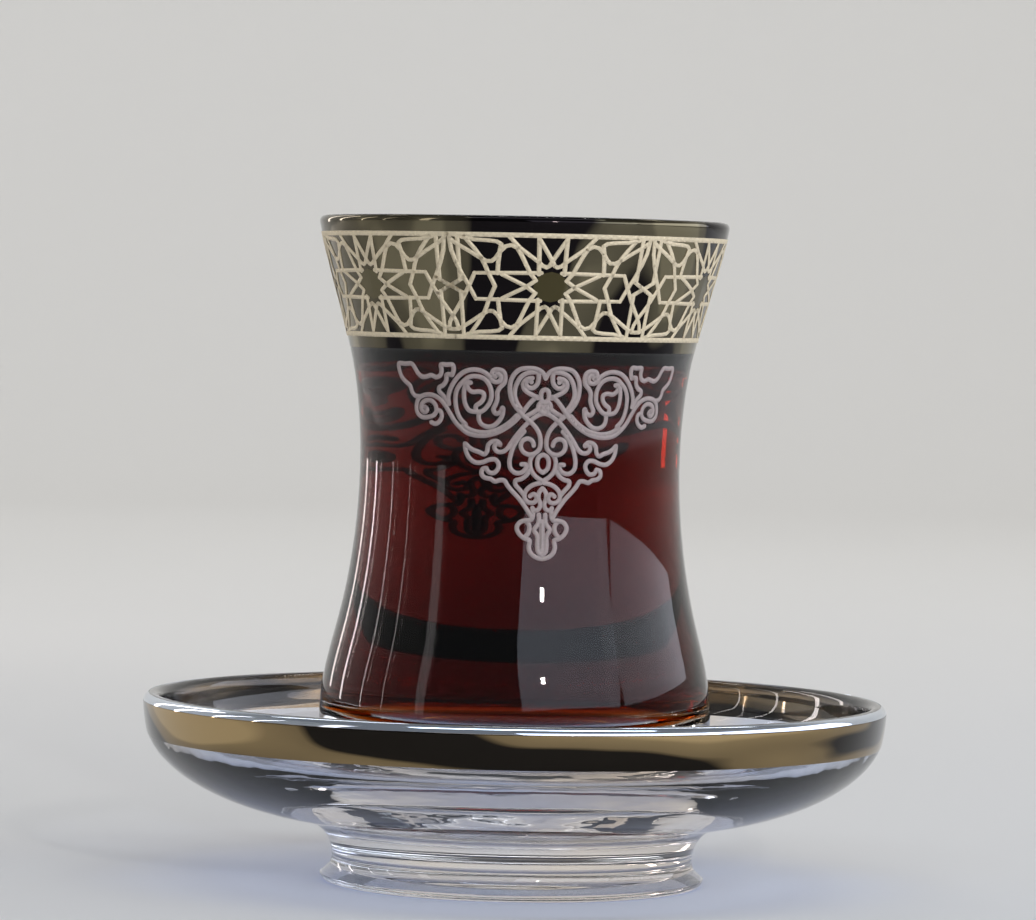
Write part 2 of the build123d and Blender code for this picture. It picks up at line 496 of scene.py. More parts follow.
def moved_out(outline, distance):
    """Outline moved along its outward normal (to the right of its run)."""
    moved = []
    for i, point in enumerate(outline):
        along = outline[min(i + 1, len(outline) - 1)] - outline[max(i - 1, 0)]
        along.normalize()
        moved.append(point + Vector((along.y, -along.x)) * distance)
    return moved


def between_heights(outline, low, high):
    """Part of a rising outline between two heights, cut exactly there."""
    cut = []
    for a, b in zip(outline, outline[1:]):
        for height in (low, high):
            if a.y < height <= b.y:
                cut.append(a.lerp(b, (height - a.y) / (b.y - a.y)))
        if low < b.y < high:
            cut.append(b)
    return sorted(cut, key=lambda p: p.y)


def turned_mesh(name, outline, closed=False):
    """Mesh turned round the axis from an outline; a closed outline makes a ring."""
    segments = settings("turned").segments
    mesh = bpy.data.meshes.new(name)
    vertices = []
    rings = []
    for point in outline:
        if point.x < 1e-9:
            rings.append([len(vertices)] * segments)
            vertices.append((0.0, 0.0, point.y))
            continue
        rings.append(list(range(len(vertices), len(vertices) + segments)))
        for k in range(segments):
            angle = 2 * math.pi * k / segments
            vertices.append((point.x * math.cos(angle), point.x * math.sin(angle), point.y))
    pairs = list(zip(rings, rings[1:]))
    if closed:
        pairs.append((rings[-1], rings[0]))
    faces = []
    for low, high in pairs:
        for k in range(segments):
            after = (k + 1) % segments
            corners = [low[k], low[after], high[after], high[k]]
            faces.append(list(dict.fromkeys(corners)))
    mesh.from_pydata(vertices, [], faces)
    mesh.shade_smooth()
    mesh.set_sharp_from_angle(angle=SHARP_ANGLE)
    return mesh


def placed(name, mesh, *materials):
    """Object of a finished mesh, in the scene."""
    mesh.materials.clear()
    for material in materials:
        mesh.materials.append(material)
    piece = bpy.data.objects.new(name, mesh)
    bpy.context.scene.collection.objects.link(piece)
    return piece


def second_finish(mesh, outline, chosen):
    """Give the second material to the rings of a turned mesh whose outline spans are chosen."""
    segments = settings("turned").segments
    for face in mesh.polygons:
        span = face.index // segments
        if chosen(span, outline[span], outline[span + 1]):
            face.material_index = 1


def smooth_outline(node):
    """Smooth outline of a turned CAD node."""
    return rounded(cad_outline(node), settings("turned").step)


def outer_side(outline):
    """The outside of a vessel's outline, up to the top of its rim."""
    top = max(range(len(outline)), key=lambda i: outline[i].y)
    return outline[:top + 1]


def inner_side(outline):
    """The inside of a vessel's outline, turned round to run from the axis up to the rim."""
    top = max(range(len(outline)), key=lambda i: outline[i].y)
    return outline[top:][::-1]


class TEAGLASS_OT_glass(bpy.types.Operator):
    """Clear waisted tea glass with its thick base and rounded rim"""

    bl_idname = "teaglass.glass"
    bl_label = "Tea Glass"

    def execute(self, context):
        sizes = settings("turned")
        outline = smooth_outline(GLASS)
        low = GLASS_BASE + sizes.seat_gap
        outline = [Vector((p.x, max(p.y, low))) for p in outline]
        tint = settings("finishes").clear
        dry = clear_glass("clear_glass", tint, tint, GLASS_RIPPLE, DRY_SHINE)
        wet = clear_glass("wetted_glass", tint, tint, GLASS_RIPPLE, WETTED_SHINE)
        mesh = turned_mesh("glass_body", outline)
        top = len(outer_side(outline)) - 1
        piece = placed("glass_body", mesh, dry, wet)
        second_finish(mesh, outline, lambda span, a, b: span >= top and max(a.y, b.y) < TEA_LEVEL)
        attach(piece, BODY)
        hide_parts(GLASS)
        return {"FINISHED"}


class TEAGLASS_OT_tea(bpy.types.Operator):
    """Tea up to its level, reaching just into the glass wall, with a meniscus at the edge"""

    bl_idname = "teaglass.tea"
    bl_label = "Tea"

    def execute(self, context):
        sizes = settings("turned")
        wall = moved_out(inner_side(smooth_outline(GLASS)), sizes.tea_reach)
        edge = TEA_LEVEL
        level = TEA_LEVEL - sizes.meniscus
        outline = [p for p in wall if p.y < edge]
        outline[0] = Vector((0.0, outline[0].y))
        start, stop = next((a, b) for a, b in zip(wall, wall[1:]) if a.y < edge <= b.y)
        outline.append(start.lerp(stop, (edge - start.y) / (stop.y - start.y)))
        reach = outline[-1].x
        for step in range(1, MENISCUS_STEPS + 1):
            inward = 5 * sizes.meniscus_reach * (step / MENISCUS_STEPS) ** 1.6
            climb = sizes.meniscus * math.exp(-inward / sizes.meniscus_reach)
            outline.append(Vector((reach - inward, level + climb)))
        outline += line_steps(outline[-1], Vector((0.0, outline[-1].y)), 2 * MM)[1:]
        colours = settings("finishes")
        mesh = turned_mesh("tea_fill", outline)
        piece = placed(
            "tea_fill", mesh,
            black_tea("tea", colours, 1.0), black_tea("tea_at_the_wall", colours, WETTED_SHINE))
        second_finish(mesh, outline, lambda span, a, b: b.y > a.y or b.y < level - 1 * MM)
        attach(piece, BODY)
        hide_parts(TEA)
        return {"FINISHED"}


class TEAGLASS_OT_saucer(bpy.types.Operator):
    """Footed saucer of clear glass"""

    bl_idname = "teaglass.saucer"
    bl_label = "Saucer"

    def execute(self, context):
        tones = settings("finishes")
        # blue glass with peach patches: painted reflections of sky and warmer surroundings
        material = clear_glass(
            "saucer_glass", tones.saucer_painted_sky_tint, tones.saucer_painted_warm_reflection, SAUCER_RIPPLE, 1.0)
        outline = [Vector((p.x, max(p.y, SAUCER_LOW.z))) for p in smooth_outline(SAUCER)]
        mesh = turned_mesh("saucer_body", outline)
        piece = placed("saucer_body", mesh, material)
        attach(piece, BODY)
        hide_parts(SAUCER)
        return {"FINISHED"}


class TEAGLASS_OT_mirror_bands(bpy.types.Operator):
    """Mirror lustre bands round the glass's mouth and round the saucer's side, coloured with painted
    reflections
    """

    bl_idname = "teaglass.mirror_bands"
    bl_label = "Mirror Bands"

    def execute(self, context):
        bands = settings("bands")
        tones = settings("finishes")
        # each band's two colours are painted reflections: a dark base for dim surroundings and
        # champagne or gold patches for bright ones; the lip's blue is a painted sky reflection
        places = (
            ("glass_band", GLASS, GLASS_RIM, bands.glass_top, bands.glass_foot,
             tones.mirror_painted_dark_reflection, tones.mirror_painted_champagne_reflection, GLASS_PATCHES, GLASS_PATCH_SCALE),
            ("saucer_band", SAUCER, SAUCER_RIM, bands.saucer_top, bands.saucer_foot,
             tones.saucer_band_painted_dark_reflection, tones.saucer_band_painted_gold_reflection, SAUCER_PATCHES, SAUCER_PATCH_SCALE),
            ("saucer_lip", SAUCER, SAUCER_RIM, bands.lip_top, bands.saucer_top - bands.film,
             tones.lip, tones.lip, EVEN, SAUCER_PATCH_SCALE),
        )
        for name, node, rim, top, foot, dark, painted_reflection_colour, stretch, scale in places:
            material = mirror_lustre(name, dark, painted_reflection_colour, stretch, scale)
            side = between_heights(outer_side(smooth_outline(node)), rim - foot, rim - top)
            inside = moved_out(side, bands.film_lift)
            outside = moved_out(side, bands.film_lift + bands.film)
            mesh = turned_mesh(name, outside + inside[::-1], closed=True)
            piece = placed(name, mesh, material)
            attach(piece, BODY)
        return {"FINISHED"}


# ---------------------------------------------------------------- etched lines

class FlatDrawing:
    """Lines drawn flat, to be wrapped round the glass: x runs round it, y is the height."""

    def __init__(self):
        self.points = []
        self.edges = []
        self.knots = []

    def line(self, points, closed=False):
        """Line through points, in millimetres, with round joints at all of them."""
        self._add(points, [True] * len(points), closed)

    def flow(self, points, closed=False):
        """Smooth line through points, in millimetres, with round ends."""
        dots = [Vector(p) for p in points]
        if closed:
            dots = dots[-2:] + dots + dots[:3]
        run = flowing(dots, FLOW_STEP)
        if closed:
            first = min(range(len(run)), key=lambda i: (run[i] - dots[2]).length)
            last = max(
                (i for i in range(len(run)) if (run[i] - dots[-3]).length < 1e-6), default=len(run) - 1)
            run = run[first:last]
        knots = [False] * len(run)
        if not closed:
            knots[0] = knots[-1] = True
        self._add(run, knots, closed)

    def _add(self, points, knots, closed):
        start = len(self.points)
        self.points += [(p[0] * MM, p[1] * MM, 0.0) for p in points]
        self.knots += knots
        count = len(points)
        self.edges += [(start + i, start + i + 1) for i in range(count - 1)]
        if closed:
            self.edges.append((start + count - 1, start))

    def mesh(self, name):
        """The lines as loose edges, with the round joints marked."""
        mesh = bpy.data.meshes.new(name)
        mesh.from_pydata(self.points, self.edges, [])
        marks = mesh.attributes.new("knot", "BOOLEAN", "POINT")
        marks.data.foreach_set("value", self.knots)
        return mesh


class Nodes:
    """A Geometry Nodes tree, built with few words."""

    def __init__(self, name):
        self.tree = bpy.data.node_groups.new(name, "GeometryNodeTree")
        self.ends = self.tree.nodes.new("NodeGroupInput")

    def input(self, name, kind):
        """Named input of the tree."""
        self.tree.interface.new_socket(name, in_out="INPUT", socket_type=kind)
        return self.ends.outputs[name]

    def add(self, kind, options, inputs, output=0):
        """New node: its options first, then its inputs; gives one of its outputs."""
        node = self.tree.nodes.new(kind)
        for name, value in options.items():
            setattr(node, name, value)
        for name, value in inputs.items():
            socket = node.inputs[name]
            values = value if isinstance(value, list) else [value]
            for one in values:
                if isinstance(one, bpy.types.NodeSocket):
                    self.tree.links.new(one, socket)
                else:
                    socket.default_value = one
        return node.outputs[output]

    def sum(self, operation, first, second=0.0):
        """Math on two numbers."""
        return self.add("ShaderNodeMath", {"operation": operation}, {0: first, 1: second})

    def finish(self, geometry):
        """Join the geometry to the tree's output."""
        self.tree.interface.new_socket("Geometry", in_out="OUTPUT", socket_type="NodeSocketGeometry")
        end = self.tree.nodes.new("NodeGroupOutput")
        self.tree.links.new(geometry, end.inputs[0])
        return self.tree


def wrapped_lines_tree():
    """Tree that turns flat lines into raised ribbons, repeats them and wraps them on a surface."""
    n = Nodes("wrapped lines")
    lines = n.input("Lines", "NodeSocketGeometry")
    surface = n.input("Surface", "NodeSocketObject")
    width = n.input("Line Width", "NodeSocketFloat")
    relief = n.input("Relief", "NodeSocketFloat")
    lift = n.input("Lift", "NodeSocketFloat")
    radius = n.input("Layout Radius", "NodeSocketFloat")
    repeats = n.input("Repeats", "NodeSocketInt")
    cuts = n.input("Cuts", "NodeSocketInt")
    material = n.input("Material", "NodeSocketMaterial")

    fine = n.add("GeometryNodeSubdivideMesh", {}, {"Mesh": lines, "Level": cuts})
    curve = n.add("GeometryNodeMeshToCurve", {}, {"Mesh": fine})
    flat = n.add("GeometryNodeSetCurveNormal", {"mode": "Z_UP"}, {"Curve": curve})
    section = n.add(
        "GeometryNodeCurvePrimitiveQuadrilateral", {}, {"Width": width, "Height": relief})
    ribbon = n.add(
        "GeometryNodeCurveToMesh", {},
        {"Curve": flat, "Profile Curve": section, "Fill Caps": True})

    half_width = n.sum("MULTIPLY", width, 0.5)
    dot = n.add(
        "GeometryNodeMeshCylinder", {"fill_type": "TRIANGLE_FAN"},
        {"Vertices": JOINT_SIDES, "Radius": half_width, "Depth": relief})
    knot = n.add("GeometryNodeInputNamedAttribute", {"data_type": "BOOLEAN"}, {"Name": "knot"})
    joints = n.add(
        "GeometryNodeInstanceOnPoints", {}, {"Points": lines, "Selection": knot, "Instance": dot})
    solid_joints = n.add("GeometryNodeRealizeInstances", {}, {"Geometry": joints})
    drawing = n.add("GeometryNodeJoinGeometry", {}, {"Geometry": [ribbon, solid_joints]})

    around = n.sum("MULTIPLY", radius, 2 * math.pi)
    pitch = n.sum("DIVIDE", around, repeats)
    step = n.add("ShaderNodeCombineXYZ", {}, {"X": pitch})
    row = n.add("GeometryNodeMeshLine", {}, {"Count": repeats, "Offset": step})
    copies = n.add("GeometryNodeInstanceOnPoints", {}, {"Points": row, "Instance": drawing})
    whole = n.add("GeometryNodeRealizeInstances", {}, {"Geometry": copies})

    position = n.add("GeometryNodeInputPosition", {}, {})
    x, y, z = (
        n.add("ShaderNodeSeparateXYZ", {}, {"Vector": position}, axis) for axis in "XYZ")
    angle = n.sum("DIVIDE", x, radius)
    side = n.sum("SINE", angle)
    front = n.sum("MULTIPLY", n.sum("COSINE", angle), -1.0)
    ray = n.add("ShaderNodeCombineXYZ", {}, {"X": side, "Y": front})
    start = n.add("ShaderNodeCombineXYZ", {}, {"Z": y})
    form = n.add("GeometryNodeObjectInfo", {}, {"Object": surface}, "Geometry")
    casting = {"Target Geometry": form, "Source Position": start, "Ray Direction": ray,
               "Ray Length": 1.0}
    hit = n.add("GeometryNodeRaycast", {}, casting, "Hit Position")
    outward = n.add("GeometryNodeRaycast", {}, casting, "Hit Normal")
    proud = n.sum("ADD", n.sum("ADD", z, n.sum("MULTIPLY", relief, 0.5)), lift)
    push = n.add(
        "ShaderNodeVectorMath", {"operation": "SCALE"}, {"Vector": outward, "Scale": proud})
    place = n.add("ShaderNodeVectorMath", {"operation": "ADD"}, {0: hit, 1: push})
    wrapped = n.add("GeometryNodeSetPosition", {}, {"Geometry": whole, "Position": place})
    return n.finish(n.add(
        "GeometryNodeSetMaterial", {}, {"Geometry": wrapped, "Material": material}))


def wrapping_form():
    """Outside of the glass as a single surface, for lines to be wrapped on."""
    side = outer_side(smooth_outline(GLASS))
    form = bpy.data.objects.new("wrapping_form", turned_mesh("wrapping_form", side))
    bpy.context.scene.collection.objects.link(form)
    return form


def wrap_lines(name, drawing, values, material):
    """Finished mesh object of a flat drawing wrapped round the glass."""
    tree = wrapped_lines_tree()
    form = wrapping_form()
    holder = bpy.data.objects.new(name, drawing.mesh(name))
    bpy.context.scene.collection.objects.link(holder)
    modifier = holder.modifiers.new("wrap", "NODES")
    modifier.node_group = tree
    chosen = dict(values, Surface=form, Material=material)
    for item in tree.interface.items_tree:
        if item.in_out == "INPUT" and item.name in chosen:
            modifier[item.identifier] = chosen[item.name]
    context = bpy.context.evaluated_depsgraph_get()
    mesh = bpy.data.meshes.new_from_object(holder.evaluated_get(context))
    for scratch in (holder, form):
        bpy.data.objects.remove(scratch)
    if not mesh.polygons:
        raise RuntimeError(f"{name} has no faces")
    turn_outward(mesh)
    return placed(name, mesh, material)


def turn_outward(mesh):
    """Faces made to point outwards."""
    work = bmesh.new()
    work.from_mesh(mesh)
    bmesh.ops.remove_doubles(work, verts=work.verts, dist=1e-8)
    if work.calc_volume(signed=True) < 0:
        bmesh.ops.reverse_faces(work, faces=work.faces)
    work.to_mesh(mesh)
    work.free()


def star_band_lines():
    """Star band, one star wide: straps from the star's middle to half way to the next star.

    Places are (degrees round from the star's centre, millimetres up from the band's middle).
    """
    both_halves = (
        # the star's points and the long bars to the hexagons
        ((3.9, 7.3), (3.7, 1.9)),
        ((3.0, 2.1), (22.3, 1.95), (24.2, 0.0)),
        ((14.3, 1.8), (7.3, 0.05), (4.5, -0.95), (5.8, -1.8)),
        ((18.2, 1.95), (16.4, 0.0)),
        # the crossed straps above the star
        ((3.9, 7.2), (0.0, 3.9)),
        ((0.0, 3.9), (0.7, 3.2), (1.6, 2.95), (2.8, 3.2), (3.9, 3.75), (6.4, 4.7), (9.2, 5.8),
         (12.0, 7.4)),
        # the wavy strap, the petal and the strap off the hexagon
        ((26.2, 6.0), (23.5, 5.2), (21.0, 4.4), (18.7, 3.75), (17.2, 3.75), (16.0, 4.25),
         (14.6, 5.3), (13.2, 6.0), (11.6, 6.2), (10.0, 5.8), (8.9, 4.9), (7.4, 3.3), (6.1, 1.95)),
        ((25.5, 7.3), (22.0, 6.95), (18.0, 6.85), (15.6, 6.7), (14.4, 6.3), (14.9, 5.1),
         (15.3, 3.6), (15.6, 1.95)),
        ((18.3, 1.95), (19.0, 3.0), (20.2, 4.3), (22.0, 5.6), (24.9, 7.4)),
        # the uprights and the crossing half way to the next star
        ((26.8, 7.4), (26.8, 0.9)),
        ((25.7, 1.2), (28.5, 0.4), (31.5, -0.4), (34.3, -1.2)),
    )
    upper = (
        ((24.2, 0.0), (26.0, 1.7), (27.7, 3.6), (28.8, 5.3), (29.2, 7.3)),
        ((26.2, 6.0), (28.0, 6.6), (29.2, 7.1)),
    )
    lower = (
        ((24.2, 0.0), (26.3, 1.9), (28.2, 3.3), (30.0, 4.5), (31.1, 5.5), (31.5, 6.3)),
        ((26.2, 6.0), (28.4, 6.55), (30.0, 6.6)),
    )
    paths = [(path, flip) for path in both_halves for flip in (1, -1)]
    paths += [(path, 1) for path in upper]
    paths += [(path, -1) for path in lower]
    return [[(side * t, flip * h) for t, h in path] for path, flip in paths for side in (1, -1)]


class TEAGLASS_OT_star_band(bpy.types.Operator):
    """Etched star band between its two border lines"""

    bl_idname = "teaglass.star_band"
    bl_label = "Star Band"

    def execute(self, context):
        bands = settings("bands")
        scrolls = settings("scrolls")
        tones = settings("finishes")
        material = etched("star_line", tones.star_line, STAR_SHEEN, 0.0)
        radius = scrolls.radius
        middle = (GLASS_BASE + bands.star_middle) / MM
        along = math.radians(1) * radius / MM
        straps = FlatDrawing()
        for path in star_band_lines():
            straps.line([(t * along, middle + h) for t, h in path])
        borders = FlatDrawing()
        half_cell = math.pi * radius / MM / bands.cells
        for side in (1, -1):
            height = middle + side * bands.border / MM
            borders.line([(half_cell * k / BORDER_STEPS, height)
                          for k in range(-BORDER_STEPS, BORDER_STEPS + 1)])
        hearts = FlatDrawing()
        hearts.line([(0.0, middle)])
        # the star hearts carry the band's champagne patches too, as painted reflections
        olive = mirror_lustre(
            "star_heart", tones.heart, tones.mirror_painted_champagne_reflection, GLASS_PATCHES, GLASS_PATCH_SCALE)
        lift = bands.film + bands.film_lift
        for name, drawing, width, relief, finish, slot in (
                ("star_straps", straps, bands.strap_width, scrolls.relief, material, "etched_line"),
                ("star_borders", borders, bands.border_width, scrolls.relief, material,
                 "etched_line"),
                ("star_hearts", hearts, bands.heart_width, bands.film, olive, "mirror_band")):
            piece = wrap_lines(name, drawing, {
                "Line Width": width,
                "Relief": relief,
                "Lift": lift,
                "Layout Radius": radius,
                "Repeats": bands.cells,
                "Cuts": 2 if drawing is straps else 0,
            }, finish)
            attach(piece, BODY)
        return {"FINISHED"}


def scroll_lines():
    """Right half of a scrollwork panel, and the strokes on its middle line.

    Places are (millimetres from the middle, millimetres above the glass's base).
    """
    return (
        # heart loop at the top, with its inner curl
        ((0.0, 61.7), (0.45, 62.5), (1.3, 63.05), (2.6, 63.2), (3.9, 62.95), (4.7, 62.2), (5.2, 61.1),
         (5.3, 59.9), (5.1, 58.6), (4.6, 57.6), (3.8, 56.6), (2.9, 55.7), (1.9, 54.9), (1.1, 54.0),
         (0.6, 53.0), (0.45, 52.0), (0.6, 51.0), (1.3, 50.3), (2.3, 50.1), (3.1, 50.5), (3.5, 51.4),
         (3.2, 52.2), (2.4, 52.5), (1.7, 52.1), (1.5, 51.5)),
        ((1.15, 62.6), (2.4, 62.55), (3.4, 62.1), (4.1, 61.2), (4.5, 60.1), (4.55, 58.9), (4.2, 57.9),
         (3.6, 57.0)),
        ((1.1, 62.5), (1.05, 61.6), (1.3, 60.7), (2.0, 60.2), (2.7, 60.4), (2.9, 61.0), (2.5, 61.4),
         (2.1, 61.1)),
        ((2.0, 61.7), (2.8, 61.5), (3.3, 60.9), (3.2, 60.1), (2.6, 59.5), (1.8, 59.1), (1.1, 58.7)),
        # bulb on the middle line
        ((0.0, 60.0), (0.42, 59.8), (0.6, 59.1), (0.5, 58.4), (0.0, 58.0)),
        ((0.0, 58.0), (0.65, 57.95), (0.95, 57.4), (0.75, 56.8), (0.0, 56.4)),
        ((0.25, 57.7), (0.3, 57.2), (0.2, 56.8)),
        # strap from the bulb, under the crossing, to the hook
        ((0.0, 56.4), (0.9, 56.1), (1.8, 55.5), (2.7, 54.7), (3.5, 53.8), (4.3, 52.8), (5.0, 51.8),
         (5.6, 50.9), (6.4, 50.4), (7.2, 50.5), (7.6, 51.1), (7.3, 51.6), (6.7, 51.5)),
        ((3.0, 53.6), (3.9, 52.5), (4.6, 51.3), (5.0, 50.1), (5.2, 48.9), (5.0, 47.9), (4.3, 47.3),
         (3.4, 47.3), (2.7, 47.9), (2.6, 48.5), (3.3, 48.6)),
        # the great outer strap, from the crossing out to the corner scroll
        ((1.2, 58.9), (2.0, 58.2), (2.8, 57.2), (3.5, 56.2), (4.4, 55.2), (5.6, 54.2), (7.0, 53.4),
         (8.6, 52.9), (10.3, 52.8), (11.8, 53.1), (13.0, 53.9), (14.0, 54.9), (14.8, 56.1),
         (15.6, 57.3), (16.6, 58.3), (17.9, 58.8), (19.3, 58.7), (20.3, 58.2), (20.8, 57.2),
         (20.7, 56.0), (19.9, 55.4), (18.6, 55.4), (17.5, 55.8), (17.1, 56.4)),
        ((4.2, 56.0), (5.2, 55.0), (6.5, 54.1), (8.0, 53.5), (9.7, 53.3), (11.3, 53.6), (12.6, 54.3)),
        ((0.9, 57.1), (1.7, 56.5), (2.6, 56.0)),
        # curl of the corner scroll and its hook
        ((17.1, 56.4), (17.3, 57.3), (18.0, 57.9), (19.0, 57.9), (19.8, 57.3), (19.9, 56.5),
         (19.3, 56.1), (18.8, 56.5), (19.2, 56.9)),
        ((17.1, 56.5), (16.4, 56.3), (16.2, 55.6), (16.6, 54.8), (17.3, 54.4), (18.1, 54.6)),
        # small curl beside the heart, and the stem under it
        ((7.5, 61.8), (8.0, 62.1), (7.8, 62.7), (7.0, 62.9), (6.3, 62.6), (6.0, 61.7), (6.2, 60.8),
         (6.8, 60.2), (7.2, 59.4), (7.2, 58.4), (7.5, 57.5), (7.8, 56.8), (7.4, 56.2), (6.8, 56.4),
         (6.4, 57.1)),
        ((7.2, 62.3), (6.7, 61.9), (6.8, 61.2), (7.5, 61.0), (8.2, 61.4)),
        ((6.3, 57.0), (6.4, 56.0), (7.0, 55.0), (7.9, 54.3), (8.9, 54.2), (9.8, 54.7), (10.1, 55.5),
         (10.0, 56.3)),
        # ring and its leaf-shaped curl
        ((10.6, 56.4), (9.6, 56.5), (8.8, 57.2), (8.2, 58.2), (8.1, 59.4), (8.4, 60.5), (9.1, 61.4),
         (10.2, 61.8), (11.4, 61.7), (12.4, 61.0), (13.2, 60.2), (13.7, 59.1), (13.8, 57.8),
         (13.6, 56.5), (13.0, 55.2), (12.2, 54.5)),
        ((10.6, 56.4), (11.6, 56.6), (12.2, 57.5), (12.4, 58.7), (12.3, 59.9), (11.8, 60.8),
         (11.3, 60.8)),
        ((11.9, 60.8), (11.7, 59.9), (11.0, 59.4), (10.0, 59.5), (9.3, 59.2), (9.3, 58.5),
         (9.8, 57.8), (10.5, 57.3), (10.5, 56.5)),
        # outer line of the ring
        ((8.1, 61.5), (8.8, 62.2), (9.8, 62.7), (11.0, 62.8), (12.3, 62.4), (13.3, 61.6),
         (14.1, 60.6), (14.7, 59.5), (15.0, 58.4), (14.9, 57.5)),
        # leaf under the strap
        ((6.7, 51.6), (7.2, 52.0), (8.0, 51.9), (8.6, 51.3), (8.7, 50.5), (9.1, 50.0), (10.0, 50.3),
         (11.2, 50.7), (12.2, 51.5)),
        ((12.3, 51.5), (12.1, 50.3), (11.5, 49.3), (10.5, 48.7), (9.3, 48.8), (8.3, 49.2),
         (7.4, 49.2), (6.9, 48.6), (7.0, 47.8), (7.6, 47.2), (8.4, 47.3), (8.8, 47.9)),
        ((8.8, 47.9), (9.4, 47.7), (9.5, 46.9), (8.9, 46.4), (8.1, 46.3), (7.4, 45.9), (6.7, 46.1),
         (6.0, 46.1), (5.4, 45.3), (4.6, 44.4), (3.7, 43.5), (2.9, 42.5), (2.2, 41.5), (1.6, 40.5)),
        # ring, point and knot on the middle line
        ((0.0, 50.1), (0.6, 49.8), (0.9, 48.8), (0.6, 47.8), (0.0, 47.4)),
        ((1.4, 50.2), (1.9, 49.5), (2.0, 48.5), (1.7, 47.5), (1.0, 46.7), (0.0, 46.1)),
        ((2.1, 47.6), (2.7, 46.8), (3.5, 46.3), (4.2, 46.1), (4.2, 45.5), (3.6, 44.8), (2.9, 44.0)),
        ((0.3, 45.8), (1.2, 45.6), (2.1, 45.1), (2.7, 44.3), (2.7, 43.4), (2.0, 42.8), (1.2, 42.9),
         (0.9, 43.6), (1.3, 44.1), (1.9, 43.8)),
        ((0.0, 45.0), (0.5, 44.4), (0.6, 43.5), (0.3, 42.6), (0.6, 41.8), (1.3, 41.6)),
        # drop at the foot, with a round lobe each side
        ((1.5, 42.0), (1.4, 41.0), (1.7, 40.2), (2.5, 40.1), (3.4, 39.8), (3.85, 39.0), (3.5, 38.1),
         (2.7, 37.4), (1.9, 37.1), (2.0, 36.1), (1.7, 35.2), (1.0, 34.6), (0.0, 34.3)),
        ((2.5, 40.0), (2.0, 39.4), (2.0, 38.4), (2.6, 37.6)),
        ((0.5, 41.0), (0.6, 39.6), (1.2, 38.7), (0.7, 37.8), (0.7, 36.4), (0.5, 35.3), (0.0, 34.9)),
        ((0.0, 40.0), (0.1, 38.5), (0.1, 37.0), (0.0, 35.6)),
        # corner cartouche
        ((14.2, 61.9), (13.9, 62.8), (14.0, 63.4), (15.0, 63.45), (15.95, 63.4), (15.9, 62.6),
         (16.2, 61.8), (17.0, 61.5), (17.7, 61.8), (18.4, 61.6), (19.3, 61.5), (20.1, 62.0),
         (20.6, 62.8), (21.1, 63.4), (22.4, 63.4), (23.8, 63.35), (23.8, 62.3), (23.4, 61.3),
         (22.6, 60.6), (21.8, 60.0), (21.6, 59.2), (21.0, 58.6), (20.3, 58.5)),
        ((14.2, 61.9), (15.1, 61.9), (15.2, 61.1), (15.8, 60.3), (16.5, 59.9), (16.5, 59.4),
         (15.9, 58.8), (15.3, 58.0)),
    )


class TEAGLASS_OT_scrolls(bpy.types.Operator):
    """Etched scrollwork panels on the waist"""

    bl_idname = "teaglass.scrolls"
    bl_label = "Scrollwork"

    def execute(self, context):
        scrolls = settings("scrolls")
        base = GLASS_BASE / MM
        drawing = FlatDrawing()
        for path in scroll_lines():
            for side in (1, -1):
                drawing.flow([(side * x, base + z) for x, z in path])
        material = etched("scroll_line", settings("finishes").scroll_line, 0.0, SCROLL_FROST)
        piece = wrap_lines("scrollwork", drawing, {
            "Line Width": scrolls.line_width,
            "Relief": scrolls.relief,
            "Lift": settings("bands").film_lift,
            "Layout Radius": scrolls.radius,
            "Repeats": scrolls.repeats,
            "Cuts": 0,
        }, material)
        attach(piece, BODY)
        return {"FINISHED"}


# ---------------------------------------------------------------- stage

def lamp(name, place, size, radiance, colour, aim):
    """Soft panel lamp at a place, aimed at another; radiance is its brightness."""
    data = bpy.data.lights.new(name, "AREA")
    data.shape = "RECTANGLE"
    data.size, data.size_y = size
    data.energy = radiance * math.pi * size[0] * size[1]
    data.color = colour
    light = bpy.data.objects.new(name, data)
    light.location = place
    towards = Vector(aim) - Vector(place)
    light.rotation_euler = towards.to_track_quat("-Z", "Y").to_euler()
    bpy.context.scene.collection.objects.link(light)
    return light


def around(camera_turn, degrees, distance, height):
    """Place round the object, in degrees to the right of the camera."""
    angle = math.radians(degrees) - camera_turn
    return (distance * math.sin(angle), -distance * math.cos(angle), height)


def cove_outline():
    """Round table top that curves up into a low wall."""
    flat, bend, wall = 1.5, 0.5, 2.2
    outline = [Vector((0.0, 0.0))] + [Vector((flat * k / 6, 0.0)) for k in range(1, 7)]
    outline += [
        Vector((flat + bend * math.sin(a), bend * (1 - math.cos(a))))
        for a in (math.pi / 2 * k / 12 for k in range(1, 13))]
    outline.append(Vector((flat + bend, wall)))
    return outline


def open_front(mesh, camera_turn):
    """Cut the cove's wall away behind the camera, so that the glass has a dim side to mirror."""
    work = bmesh.new()
    work.from_mesh(mesh)
    middle = math.radians(-90) - camera_turn
    gone = []
    for face in work.faces:
        centre = face.calc_center_median()
        off = math.remainder(math.atan2(centre.y, centre.x) - middle, 2 * math.pi)
        if centre.z > 1e-4 and abs(off) < math.radians(COVE_OPENING):
            gone.append(face)
    bmesh.ops.delete(work, geom=gone, context="FACES")
    work.to_mesh(mesh)
    work.free()


